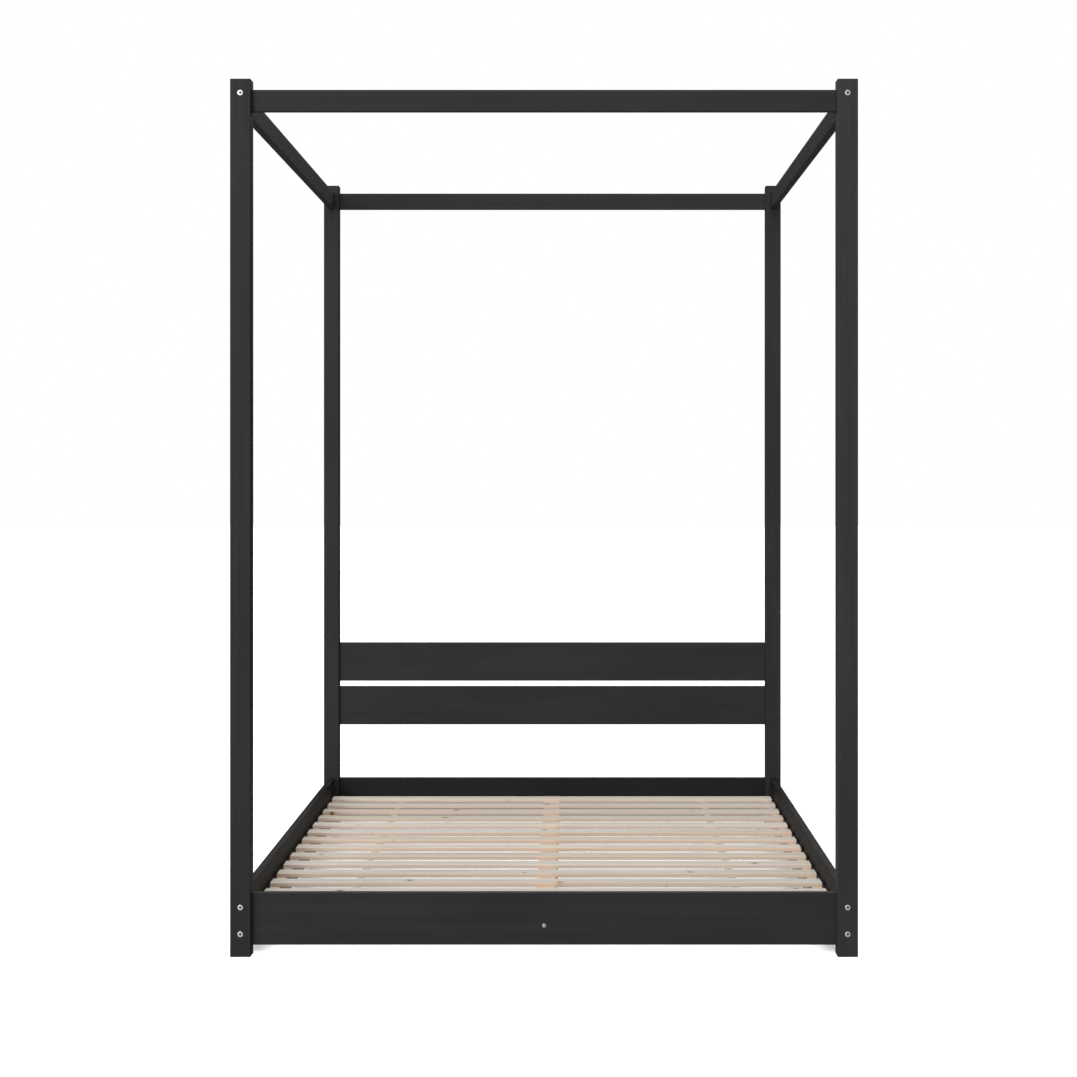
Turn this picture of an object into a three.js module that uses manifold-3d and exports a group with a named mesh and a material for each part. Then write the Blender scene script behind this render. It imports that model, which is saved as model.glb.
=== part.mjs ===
// Four poster canopy bed, double size (for a 1350 x 1900 mm mattress), in bolted pine.
//
// Millimetres, +Z up. The origin is on the floor, in the middle of the bed.
// The foot end is at -Y, the head end at +Y, and the left side at -X.
// Every piece of timber and every bolt is its own mesh.

import * as THREE from 'three';
import { mergeVertices } from 'three/addons/utils/BufferGeometryUtils.js';
import Module from 'manifold-3d';

// ---------------------------------------------------------------- driving dimensions

// Whole bed
const WIDTH = 1430;
const LENGTH = 1982;
const HEIGHT = 2000;

// Square posts, and the small chamfer that eases every long timber edge
const POST = 47;
const EASE = 1.5;

// Rails of the bed frame. Every rail and plank stands on the posts' centre line.
const BOARD_THICKNESS = 18;
const RAIL_HEIGHT = 120;
const RAIL_BOTTOM = 25;

// Canopy rails round the top
const CANOPY_HEIGHT = 50;
const CANOPY_TOP = HEIGHT - 23;

// Headboard planks
const PLANK_HEIGHT = 120;
const PLANK_BOTTOMS = { lower: 312, upper: 449 };

// Slats, and what they lie on
const SLAT_COUNT = 14;
const SLAT_WIDTH = 58;
const SLAT_THICKNESS = 10;
const SLAT_LENGTH = 1350;
const SLAT_TOP = 100;
const SLAT_END_GAP = 92;
const LEDGER_WIDTH = 32;
const LEDGER_HEIGHT = 45;
const LEDGER_LENGTH = 1880;
const BEAM = 47;

// Two woven tapes stapled under the slats, which keep them the right distance apart
const TAPE_WIDTH = 20;
const TAPE_THICKNESS = 1.2;
const TAPE_INSET = 252;
const TAPE_OVERHANG = 12;
const TAPE_GAP = 0.3;

// Frame bolts: how high each one sits in its post
const SIDE_RAIL_BOLT_HEIGHTS = [52, 113];
const END_RAIL_BOLT_HEIGHTS = [70, 131];
const CANOPY_SIDE_BOLT_HEIGHT = 1968;
const CANOPY_END_BOLT_HEIGHT = 1942;
const BEAM_BOLT_HEIGHT = 69;

// Bolt sizes. A head sits flush in a counterbore that is a little larger.
const FRAME_BOLT = { head: 13, shank: 6, socket: 5, length: 90 };
const BEAM_BOLT = { head: 9, shank: 5, socket: 3, length: 60 };
const HEAD_THICKNESS = 2.7;
const HEAD_CHAMFER = 0.6;
const SOCKET_DEPTH = 2;
const COUNTERBORE_DEPTH = 3;
const HOLE_CLEARANCE = 1;
const END_BORE_DEPTH = 50;
const HEAD_SIDES = 12;
const SHANK_SIDES = 8;

// Cross holes for the dowel nuts that the bolts screw into
const NUT_HOLE = 10.4;
const NUT_HOLE_DEPTH = 15;
const NUT_FROM_END = 35;
const BEAM_NUT_FROM_END = 30;
const NUT_SIDES = 10;

// ---------------------------------------------------------------- worked-out places

const POST_X = (WIDTH - POST) / 2;
const POST_Y = (LENGTH - POST) / 2;
const BOARD_INSET = (POST - BOARD_THICKNESS) / 2;
const INNER_X = WIDTH / 2 - BOARD_INSET - BOARD_THICKNESS;
const INNER_Y = LENGTH / 2 - BOARD_INSET - BOARD_THICKNESS;
const END_RAIL_LENGTH = WIDTH - 2 * POST;
const SIDE_RAIL_LENGTH = LENGTH - 2 * POST;
const SLAT_BOTTOM = SLAT_TOP - SLAT_THICKNESS;
const FIRST_SLAT_Y = -INNER_Y + SLAT_END_GAP + SLAT_WIDTH / 2;
const SLAT_PITCH = (-2 * FIRST_SLAT_Y) / (SLAT_COUNT - 1);

const ENDS = { foot: -1, head: 1 };
const SIDES = { left: -1, right: 1 };

// ---------------------------------------------------------------- materials

const blackPaint = new THREE.MeshStandardMaterial({ color: 0x1d1d1f, roughness: 0.5, metalness: 0 });
const wovenTape = new THREE.MeshStandardMaterial({ color: 0xe9e4d8, roughness: 0.95, metalness: 0 });
const naturalPine = new THREE.MeshStandardMaterial({ color: 0xdcc3a1, roughness: 0.7, metalness: 0 });
const zincSteel = new THREE.MeshStandardMaterial({ color: 0xc3c5c8, roughness: 0.3, metalness: 1 });

// ---------------------------------------------------------------- solids

const wasm = await Module();
wasm.setup();

// A closed mesh as a solid that can be cut. Triangles with no area are left out.
function toSolid(geometry) {
  const bare = geometry.clone();
  bare.deleteAttribute('normal');
  bare.deleteAttribute('uv');
  const merged = mergeVertices(bare, 1e-4);
  const corners = merged.index.array;
  const triangles = [];
  for (let i = 0; i < corners.length; i += 3) {
    const [a, b, c] = [corners[i], corners[i + 1], corners[i + 2]];
    if (a !== b && b !== c && c !== a) {
      triangles.push(a, b, c);
    }
  }
  return new wasm.Manifold(new wasm.Mesh({
    numProp: 3,
    vertProperties: new Float32Array(merged.attributes.position.array),
    triVerts: new Uint32Array(triangles),
  }));
}

function toGeometry(solid) {
  const mesh = solid.getMesh();
  const geometry = new THREE.BufferGeometry();
  geometry.setAttribute('position', new THREE.BufferAttribute(new Float32Array(mesh.vertProperties), 3));
  geometry.setIndex(new THREE.BufferAttribute(new Uint32Array(mesh.triVerts), 1));
  geometry.computeVertexNormals();
  return geometry;
}

function cut(geometry, cutters) {
  let solid = toSolid(geometry);
  for (const cutter of cutters) {
    solid = solid.subtract(toSolid(cutter));
  }
  return toGeometry(solid);
}

// Turns a shape built along Z so that it runs along another axis.
const X = new THREE.Vector3(1, 0, 0);
const Y = new THREE.Vector3(0, 1, 0);
const Z = new THREE.Vector3(0, 0, 1);
const ALONG = {
  x: new THREE.Matrix4().makeBasis(Y, Z, X),
  y: new THREE.Matrix4().makeBasis(Z, X, Y),
  z: new THREE.Matrix4(),
};

// A straight length of timber centred on its own origin, with its four long edges eased.
// first and second are its sizes along the two axes that follow its own axis in x, y, z order.
function timber(axis, length, first, second) {
  const a = first / 2;
  const b = second / 2;
  const outline = new THREE.Shape([
    new THREE.Vector2(-a + EASE, -b),
    new THREE.Vector2(a - EASE, -b),
    new THREE.Vector2(a, -b + EASE),
    new THREE.Vector2(a, b - EASE),
    new THREE.Vector2(a - EASE, b),
    new THREE.Vector2(-a + EASE, b),
    new THREE.Vector2(-a, b - EASE),
    new THREE.Vector2(-a, -b + EASE),
  ]);
  const geometry = new THREE.ExtrudeGeometry(outline, { depth: length, bevelEnabled: false });
  geometry.translate(0, 0, -length / 2);
  geometry.applyMatrix4(ALONG[axis]);
  return geometry;
}

// A round cutter along an axis, from one place on that axis to another.
function drill(axis, diameter, from, to, across, sides) {
  const geometry = new THREE.CylinderGeometry(diameter / 2, diameter / 2, Math.abs(to - from), sides);
  geometry.rotateX(Math.PI / 2);
  geometry.translate(0, 0, (from + to) / 2);
  geometry.applyMatrix4(ALONG[axis]);
  geometry.translate(across.x ?? 0, across.y ?? 0, across.z ?? 0);
  return geometry;
}

// A clearance hole right through a thickness, and the counterbore for the bolt's head.
// outside is the face that the head sits in, and inward is the way the bolt points.
function boltHole(axis, bolt, outside, inward, thickness, across) {
  const start = outside - inward;
  const seat = outside + inward * COUNTERBORE_DEPTH;
  const far = outside + inward * (thickness + 1);
  return [
    drill(axis, bolt.head + HOLE_CLEARANCE, start, seat, across, HEAD_SIDES),
    drill(axis, bolt.shank + HOLE_CLEARANCE, start, far, across, SHANK_SIDES),
  ];
}

// Blind bores for the bolts in both ends of a rail, at these heights from the rail's middle.
function endBores(axis, bolt, length, heights) {
  const cutters = [];
  for (const end of [-1, 1]) {
    const face = end * (length / 2 + 1);
    const bottom = end * (length / 2 - END_BORE_DEPTH);
    for (const height of heights) {
      cutters.push(drill(axis, bolt.shank + HOLE_CLEARANCE, face, bottom, { z: height }, SHANK_SIDES));
    }
  }
  return cutters;
}

// Cross holes for dowel nuts, one over each end bore, drilled into one broad face of a board.
// into is the axis that they are drilled along, and side says which of the two faces they open on.
function nutHoles(axis, into, side, length, heights) {
  const cutters = [];
  const face = side * (BOARD_THICKNESS / 2 + 1);
  const bottom = side * (BOARD_THICKNESS / 2 - NUT_HOLE_DEPTH);
  for (const end of [-1, 1]) {
    for (const height of heights) {
      const across = { [axis]: end * (length / 2 - NUT_FROM_END), z: height };
      cutters.push(drill(into, NUT_HOLE, face, bottom, across, NUT_SIDES));
    }
  }
  return cutters;
}

// A rail or plank across the bed. Its dowel nuts go in from the head side, where they don't show
// from the foot end.
function crossBoard(height, boltHeights) {
  const board = timber('x', END_RAIL_LENGTH, BOARD_THICKNESS, height);
  return cut(board, [
    ...endBores('x', FRAME_BOLT, END_RAIL_LENGTH, boltHeights),
    ...nutHoles('x', 'y', 1, END_RAIL_LENGTH, boltHeights),
  ]);
}

// A rail along one side of the bed. Its dowel nuts go in from inside the bed.
function sideBoard(side, height, boltHeights) {
  const board = timber('y', SIDE_RAIL_LENGTH, height, BOARD_THICKNESS);
  return cut(board, [
    ...endBores('y', FRAME_BOLT, SIDE_RAIL_LENGTH, boltHeights),
    ...nutHoles('y', 'x', -side, SIDE_RAIL_LENGTH, boltHeights),
  ]);
}

// A flat-headed furniture bolt with a hexagon socket.
// Its head's outer face is at the origin, and its shank points along +Z.
function boltGeometry({ head, shank, socket, length }) {
  const profile = [
    new THREE.Vector2(0, 0),
    new THREE.Vector2(head / 2 - HEAD_CHAMFER, 0),
    new THREE.Vector2(head / 2, HEAD_CHAMFER),
    new THREE.Vector2(head / 2, HEAD_THICKNESS),
    new THREE.Vector2(shank / 2, HEAD_THICKNESS),
    new THREE.Vector2(shank / 2, length),
    new THREE.Vector2(0, length),
  ];
  const body = new THREE.LatheGeometry(profile, HEAD_SIDES);
  body.rotateX(Math.PI / 2);
  const cornerToCorner = socket / Math.cos(Math.PI / 6);
  const key = new THREE.CylinderGeometry(cornerToCorner / 2, cornerToCorner / 2, 2 * SOCKET_DEPTH, 6);
  key.rotateX(Math.PI / 2);
  return cut(body, [key]);
}

// ---------------------------------------------------------------- assembly

const bed = new THREE.Group();

function place(name, geometry, material, x, y, z) {
  const mesh = new THREE.Mesh(geometry, material);
  mesh.name = name;
  mesh.position.set(x, y, z);
  bed.add(mesh);
  return mesh;
}

const canopyMiddle = CANOPY_TOP - CANOPY_HEIGHT / 2;
const railMiddle = RAIL_BOTTOM + RAIL_HEIGHT / 2;
const plankMiddles = Object.values(PLANK_BOTTOMS).map((bottom) => bottom + PLANK_HEIGHT / 2);

// Posts. Each is drilled from its outer end face for the side rails,
// and from its outer side face for the rails and planks that run across the bed.
function addPost(endName, sideName) {
  const end = ENDS[endName];
  const side = SIDES[sideName];
  const sideRailHoles = [...SIDE_RAIL_BOLT_HEIGHTS, CANOPY_SIDE_BOLT_HEIGHT];
  const endRailHoles = [...END_RAIL_BOLT_HEIGHTS, CANOPY_END_BOLT_HEIGHT];
  if (endName === 'head') {
    endRailHoles.push(...plankMiddles);
  }
  const cutters = [];
  for (const height of sideRailHoles) {
    const across = { z: height - HEIGHT / 2 };
    cutters.push(...boltHole('y', FRAME_BOLT, (end * POST) / 2, -end, POST, across));
  }
  for (const height of endRailHoles) {
    const across = { z: height - HEIGHT / 2 };
    cutters.push(...boltHole('x', FRAME_BOLT, (side * POST) / 2, -side, POST, across));
  }
  const geometry = cut(timber('z', HEIGHT, POST, POST), cutters);
  place(`post_${endName}_${sideName}`, geometry, blackPaint, side * POST_X, end * POST_Y, HEIGHT / 2);
}

// Rails across the foot and head ends. Both are drilled in the middle for the centre beam's bolt.
function addEndRail(endName) {
  const end = ENDS[endName];
  const heights = END_RAIL_BOLT_HEIGHTS.map((height) => height - railMiddle);
  const beamHole = boltHole(
    'y',
    BEAM_BOLT,
    (end * BOARD_THICKNESS) / 2,
    -end,
    BOARD_THICKNESS,
    { z: BEAM_BOLT_HEIGHT - railMiddle },
  );
  const geometry = cut(crossBoard(RAIL_HEIGHT, heights), beamHole);
  place(`${endName}_rail`, geometry, blackPaint, 0, end * POST_Y, railMiddle);
}

function addSideRail(sideName) {
  const side = SIDES[sideName];
  const heights = SIDE_RAIL_BOLT_HEIGHTS.map((height) => height - railMiddle);
  const geometry = sideBoard(side, RAIL_HEIGHT, heights);
  place(`side_rail_${sideName}`, geometry, blackPaint, side * POST_X, 0, railMiddle);
}

function addCanopyRails() {
  const across = crossBoard(CANOPY_HEIGHT, [CANOPY_END_BOLT_HEIGHT - canopyMiddle]);
  for (const [name, end] of Object.entries(ENDS)) {
    place(`canopy_rail_${name}`, across, blackPaint, 0, end * POST_Y, canopyMiddle);
  }
  for (const [name, side] of Object.entries(SIDES)) {
    const along = sideBoard(side, CANOPY_HEIGHT, [CANOPY_SIDE_BOLT_HEIGHT - canopyMiddle]);
    place(`canopy_rail_${name}`, along, blackPaint, side * POST_X, 0, canopyMiddle);
  }
}

function addHeadboard() {
  const geometry = crossBoard(PLANK_HEIGHT, [0]);
  for (const [name, bottom] of Object.entries(PLANK_BOTTOMS)) {
    place(`headboard_plank_${name}`, geometry, blackPaint, 0, POST_Y, bottom + PLANK_HEIGHT / 2);
  }
}

// The natural pine base: a ledger along each side rail, a beam and leg in the middle, and the slats.
function addBase() {
  const ledger = timber('y', LEDGER_LENGTH, LEDGER_HEIGHT, LEDGER_WIDTH);
  const ledgerX = INNER_X - LEDGER_WIDTH / 2;
  for (const [name, side] of Object.entries(SIDES)) {
    place(`slat_ledger_${name}`, ledger, naturalPine, side * ledgerX, 0, SLAT_BOTTOM - LEDGER_HEIGHT / 2);
  }

  const beamLength = 2 * INNER_Y;
  const beamMiddle = SLAT_BOTTOM - BEAM / 2;
  const boltHeight = BEAM_BOLT_HEIGHT - beamMiddle;
  const beamCutters = endBores('y', BEAM_BOLT, beamLength, [boltHeight]);
  for (const end of [-1, 1]) {
    const across = { y: end * (beamLength / 2 - BEAM_NUT_FROM_END) };
    beamCutters.push(drill('z', NUT_HOLE, -BEAM / 2 - 1, boltHeight + NUT_HOLE / 2, across, NUT_SIDES));
  }
  const beam = cut(timber('y', beamLength, BEAM, BEAM), beamCutters);
  place('centre_beam', beam, naturalPine, 0, 0, beamMiddle);
  const legHeight = SLAT_BOTTOM - BEAM;
  place('centre_leg', timber('z', legHeight, BEAM, BEAM), naturalPine, 0, 0, legHeight / 2);

  const slat = timber('x', SLAT_LENGTH, SLAT_WIDTH, SLAT_THICKNESS);
  for (let i = 0; i < SLAT_COUNT; i += 1) {
    const name = `slat_${String(i + 1).padStart(2, '0')}`;
    const y = FIRST_SLAT_Y + i * SLAT_PITCH;
    place(name, slat, naturalPine, 0, y, SLAT_BOTTOM + SLAT_THICKNESS / 2);
  }

  const tapeLength = -2 * FIRST_SLAT_Y + SLAT_WIDTH + 2 * TAPE_OVERHANG;
  const tape = new THREE.BoxGeometry(TAPE_WIDTH, tapeLength, TAPE_THICKNESS);
  const tapeX = WIDTH / 2 - TAPE_INSET;
  const tapeZ = SLAT_BOTTOM - TAPE_GAP - TAPE_THICKNESS / 2;
  for (const [name, side] of Object.entries(SIDES)) {
    place(`slat_tape_${name}`, tape, wovenTape, side * tapeX, 0, tapeZ);
  }
}

// Bolts point inward from the outer faces, each in a group that turns it the right way.
function placeBolt(name, geometry, direction, x, y, z) {
  const group = new THREE.Group();
  group.quaternion.setFromUnitVectors(Z, direction);
  group.position.set(x, y, z);
  const bolt = new THREE.Mesh(geometry, zincSteel);
  bolt.name = name;
  group.add(bolt);
  bed.add(group);
}

function addBolts() {
  const frameBolt = boltGeometry(FRAME_BOLT);
  for (const [endName, end] of Object.entries(ENDS)) {
    for (const [sideName, side] of Object.entries(SIDES)) {
      const corner = `${endName}_${sideName}`;
      const lengthwise = new THREE.Vector3(0, -end, 0);
      const crosswise = new THREE.Vector3(-side, 0, 0);
      const faceX = (side * WIDTH) / 2;
      const faceY = (end * LENGTH) / 2;
      SIDE_RAIL_BOLT_HEIGHTS.forEach((z, i) => {
        placeBolt(`side_rail_bolt_${corner}_${i + 1}`, frameBolt, lengthwise, side * POST_X, faceY, z);
      });
      END_RAIL_BOLT_HEIGHTS.forEach((z, i) => {
        placeBolt(`end_rail_bolt_${corner}_${i + 1}`, frameBolt, crosswise, faceX, end * POST_Y, z);
      });
      const sideBolt = `canopy_side_bolt_${corner}`;
      placeBolt(sideBolt, frameBolt, lengthwise, side * POST_X, faceY, CANOPY_SIDE_BOLT_HEIGHT);
      const endBolt = `canopy_end_bolt_${corner}`;
      placeBolt(endBolt, frameBolt, crosswise, faceX, end * POST_Y, CANOPY_END_BOLT_HEIGHT);
    }
  }
  const beamBolt = boltGeometry(BEAM_BOLT);
  for (const [endName, end] of Object.entries(ENDS)) {
    const faceY = end * (INNER_Y + BOARD_THICKNESS);
    placeBolt(`beam_bolt_${endName}`, beamBolt, new THREE.Vector3(0, -end, 0), 0, faceY, BEAM_BOLT_HEIGHT);
  }
}

for (const endName of Object.keys(ENDS)) {
  for (const sideName of Object.keys(SIDES)) {
    addPost(endName, sideName);
  }
  addEndRail(endName);
}
for (const sideName of Object.keys(SIDES)) {
  addSideRail(sideName);
}
addCanopyRails();
addHeadboard();
addBase();
addBolts();

export default bed;
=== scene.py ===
"""The looks of the four poster canopy bed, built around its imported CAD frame.

Every length is in metres, in the frame's own axes: +Z up, the foot end at -Y, the left side at -X.
"""
import math
import random

import bmesh
import bpy
from mathutils import Matrix, Vector


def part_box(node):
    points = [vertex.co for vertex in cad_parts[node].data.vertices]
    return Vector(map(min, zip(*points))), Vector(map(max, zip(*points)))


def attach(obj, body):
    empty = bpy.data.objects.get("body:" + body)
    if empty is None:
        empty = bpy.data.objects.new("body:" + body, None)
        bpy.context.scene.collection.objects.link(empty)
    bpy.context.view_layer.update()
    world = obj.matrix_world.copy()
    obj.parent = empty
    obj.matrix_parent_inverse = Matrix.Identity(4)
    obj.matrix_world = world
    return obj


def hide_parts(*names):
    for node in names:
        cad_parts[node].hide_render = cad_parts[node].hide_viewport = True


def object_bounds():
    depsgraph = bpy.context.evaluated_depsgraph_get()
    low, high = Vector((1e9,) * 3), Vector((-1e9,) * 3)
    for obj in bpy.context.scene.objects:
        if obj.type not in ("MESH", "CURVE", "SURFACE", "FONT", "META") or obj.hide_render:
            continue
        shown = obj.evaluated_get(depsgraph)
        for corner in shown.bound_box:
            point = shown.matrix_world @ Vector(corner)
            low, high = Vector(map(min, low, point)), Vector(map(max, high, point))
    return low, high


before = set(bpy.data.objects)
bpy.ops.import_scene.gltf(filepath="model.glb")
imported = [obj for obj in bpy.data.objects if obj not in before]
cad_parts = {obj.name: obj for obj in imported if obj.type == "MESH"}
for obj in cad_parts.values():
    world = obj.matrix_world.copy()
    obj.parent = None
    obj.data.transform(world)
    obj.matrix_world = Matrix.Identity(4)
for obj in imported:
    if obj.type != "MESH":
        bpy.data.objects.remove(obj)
cad_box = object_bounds()

MM = 0.001
BODY = "root"

# ---------------------------------------------------------------- sizes that the frame doesn't give

# How round the long edges and the sawn ends of each kind of timber are
ARRIS = {"post": 2.2 * MM, "rail": 2.0 * MM, "slat": 1.6 * MM}
END_ARRIS = {"post": 1.6 * MM, "rail": 0.3 * MM, "slat": 0.9 * MM}
ARRIS_SEGMENTS = 5

# Bolts, and the holes that they sit in
HEAD_RADIUS = {"frame": 6.5 * MM, "beam": 4.5 * MM}
SHANK_RADIUS = {"frame": 3.0 * MM, "beam": 2.5 * MM}
SOCKET_WIDTH = {"frame": 5.0 * MM, "beam": 3.0 * MM}
BOLT_LENGTH = {"frame": 90 * MM, "beam": 60 * MM}
HEAD_THICKNESS = 2.7 * MM
SOCKET_DEPTH = 2.0 * MM
THREAD_PITCH = 1.0 * MM
THREAD_DEPTH = 0.45 * MM
THREAD_LENGTH = {"frame": 46 * MM, "beam": 36 * MM}
MOUTH_SHARE = 0.62  # the radius of a socket's chamfered mouth, as a share of the socket's width
HEAD_SUNK = 0.25 * MM
COUNTERBORE_DEPTH = 3.0 * MM
HOLE_CLEARANCE = 0.5 * MM
MOUTH_CHAMFER = 0.5 * MM
END_BORE_DEPTH = 50 * MM

# Cross dowel nuts
NUT_RADIUS = 5.0 * MM
NUT_LENGTH = 14 * MM
NUT_HOLE_RADIUS = 5.2 * MM
NUT_HOLE_DEPTH = 15 * MM
NUT_SUNK = 0.5 * MM
NUT_THREAD_RADIUS = 2.7 * MM
NUT_FROM_END = 35 * MM
BEAM_NUT_FROM_END = 30 * MM

# Wood screws and tape staples
SCREW_HEAD_RADIUS = 4.0 * MM
SCREW_SHANK_RADIUS = 1.9 * MM
SCREW_LENGTH = {"ledger": 42 * MM, "slat": 30 * MM}
SCREW_PITCH = 1.6 * MM
SCREW_THREAD_DEPTH = 0.5 * MM
SCREW_COUNTERSINK = 2.9 * MM
SCREW_PROUD = 0.05 * MM
LEDGER_SCREWS = 6
SLAT_SCREW_FROM_END = 14 * MM
STAPLE_WIDTH = 10 * MM
STAPLE_LEG = 7 * MM
STAPLE_WIRE = 0.55 * MM
STAPLE_BEND = 1.2 * MM
STAPLE_SIDES = 8

# How far the painted shade reaches on the pine where a bearer meets a rail: of a ledger's width, next to the
# side rail, and of the beam's length, next to the foot and head rails
PAINTED_SHADE_WIDTH = 8.5 * MM
PAINTED_SHADE_LENGTH = 34 * MM

# The tape: its sag between two slats, and how finely it's modelled
TAPE_SAG = 1.2 * MM
TAPE_STEP = 4 * MM
TAPE_SECTION_POINTS = 16

# Pine: the widest knot, and the spacing of the growth rings
KNOT_RADIUS = 6.5 * MM
RING_SPACING = 3.3 * MM

# The weave of the tape
WARP_SPACING = 1.6 * MM
WEFT_SPACING = 1.9 * MM

# What the paint's colour is multiplied by on each post and board, so that its level follows the photo. It is
# partly the coat's own tone and partly painted light and shade: boards that stand in more shade, such as the
# head rail and the side rails, are painted darker, and boards that catch more light are painted lighter
COAT_AND_PAINTED_LIGHT = {
    "post_foot_left": 1.0,
    "post_foot_right": 1.46,
    "post_head_left": 1.12,
    "post_head_right": 1.10,
    "foot_rail": 1.10,
    "head_rail": 0.46,
    "side_rail_left": 0.46,
    "side_rail_right": 0.40,
    "headboard_plank_upper": 1.16,
    "headboard_plank_lower": 1.12,
    "canopy_rail_left": 1.30,
    "canopy_rail_right": 1.10,
}

# The camera stands in front of the foot end, a little to the right, looking straight along the bed.
CAMERA_DISTANCE = 5.161
CAMERA_SIDE = 0.069
CAMERA_HEIGHT = 1.106
LENS_MM = 75.8
SHIFT = (-0.0333, -0.0624)

# Softboxes: place, aim, size, power in watts and colour
SOFTBOXES = {
    "key": ((-3.6, -6.2, 2.6), (0, -0.2, 0.8), (3.0, 2.4), 185, (1.0, 0.99, 0.98)),
    "top": ((-0.2, -1.9, 7.0), (0, -0.7, 0), (4.0, 3.4), 275, (0.95, 0.985, 1.0)),
    "fill": ((0.2, 5.2, 4.6), (0, 0.6, 0.9), (2.6, 2.6), 85, (1.0, 0.99, 0.98)),
}

# The world's light: from above, from below, from the front left, and from all around
WORLD_ABOVE = 0.35
WORLD_BELOW = 0.40
WORLD_FRONT = 0.75
WORLD_BASE = 0.04

# The floor, and the wash that falls only on it
FLOOR_SIZE = 40
FLOOR_GREY = 0.93
WASH_POWER = 4.7
WASH_ANGLE = 66
WASH_DIRECTION = (0, 1, -1.25)

# Fixes every piece's own grain and tone
SEED = 41


# ---------------------------------------------------------------- camera, floor and light

def link(thing):
    bpy.context.scene.collection.objects.link(thing)
    return thing


def add_camera():
    data = bpy.data.cameras.new("camera")
    data.sensor_width = 36
    data.lens = LENS_MM
    data.shift_x, data.shift_y = SHIFT
    data.clip_end = 200
    camera = link(bpy.data.objects.new("camera", data))
    camera.location = (CAMERA_SIDE, cad_box[0].y - CAMERA_DISTANCE, CAMERA_HEIGHT)
    camera.rotation_euler = (math.radians(90), 0, 0)
    bpy.context.scene.camera = camera


def add_softbox(name):
    place, aim, size, power, colour = SOFTBOXES[name]
    data = bpy.data.lights.new(name, "AREA")
    data.shape = "RECTANGLE"
    data.size, data.size_y = size
    data.energy = power
    data.color = colour
    light = link(bpy.data.objects.new(name, data))
    light.location = place
    direction = Vector(aim) - Vector(place)
    light.rotation_euler = direction.to_track_quat("-Z", "Y").to_euler()
    light.visible_camera = False
    return light


# ---------------------------------------------------------------- materials

class Material:
    """A node-based material, put together a few nodes at a time."""

    def __init__(self, name, tree=None):
        if tree is None:
            self.data = bpy.data.materials.new(name)
            self.data.use_nodes = True
            tree = self.data.node_tree
        self.tree = tree
        self.tree.nodes.clear()

    def put(self, socket, value):
        if isinstance(value, bpy.types.NodeSocket):
            self.tree.links.new(value, socket)
        else:
            socket.default_value = value

    def node(self, kind, inputs=None, **settings):
        node = self.tree.nodes.new(kind)
        for key, value in settings.items():
            setattr(node, key, value)
        for key, value in (inputs or {}).items():
            self.put(node.inputs[key], value)
        return node

    def attribute(self, name, output="Fac"):
        return self.node("ShaderNodeAttribute", attribute_name=name).outputs[output]

    def math(self, operation, *values):
        node = self.node("ShaderNodeMath", operation=operation)
        for socket, value in zip(node.inputs, values):
            self.put(socket, value)
        return node.outputs[0]

    def scaled(self, vector, x, y, z):
        node = self.node("ShaderNodeVectorMath", operation="MULTIPLY")
        self.put(node.inputs[0], vector)
        node.inputs[1].default_value = (x, y, z)
        return node.outputs[0]

    def parts(self, vector):
        return self.node("ShaderNodeSeparateXYZ", {"Vector": vector}).outputs

    def joined(self, x, y, z):
        return self.node("ShaderNodeCombineXYZ", {"X": x, "Y": y, "Z": z}).outputs[0]

    def noise(self, vector, scale=1.0, detail=2.0, roughness=0.5):
        inputs = {"Vector": vector, "Scale": scale, "Detail": detail, "Roughness": roughness}
        return self.node("ShaderNodeTexNoise", inputs).outputs["Fac"]

    def remap(self, value, low, high, to_low=0.0, to_high=1.0):
        inputs = {"Value": value, "From Min": low, "From Max": high, "To Min": to_low, "To Max": to_high}
        node = self.node("ShaderNodeMapRange", inputs, interpolation_type="SMOOTHSTEP")
        return node.outputs["Result"]

    def mix(self, factor, first, second, blend="MIX"):
        node = self.node("ShaderNodeMix", data_type="RGBA", blend_type=blend)
        self.put(node.inputs["Factor"], factor)
        colours = [socket for socket in node.inputs if socket.type == "RGBA"]
        for socket, value in zip(colours, (first, second)):
            self.put(socket, value)
        return next(socket for socket in node.outputs if socket.type == "RGBA")

    def bump(self, height, distance, strength=1.0, normal=None):
        inputs = {"Height": height, "Distance": distance, "Strength": strength}
        node = self.node("ShaderNodeBump", inputs)
        if normal is not None:
            self.put(node.inputs["Normal"], normal)
        return node.outputs[0]

    def surface(self, inputs):
        shader = self.node("ShaderNodeBsdfPrincipled", inputs)
        output = self.node("ShaderNodeOutputMaterial")
        self.tree.links.new(shader.outputs[0], output.inputs["Surface"])
        return self.data


def rgb(red, green, blue):
    return (red, green, blue, 1.0)


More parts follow.
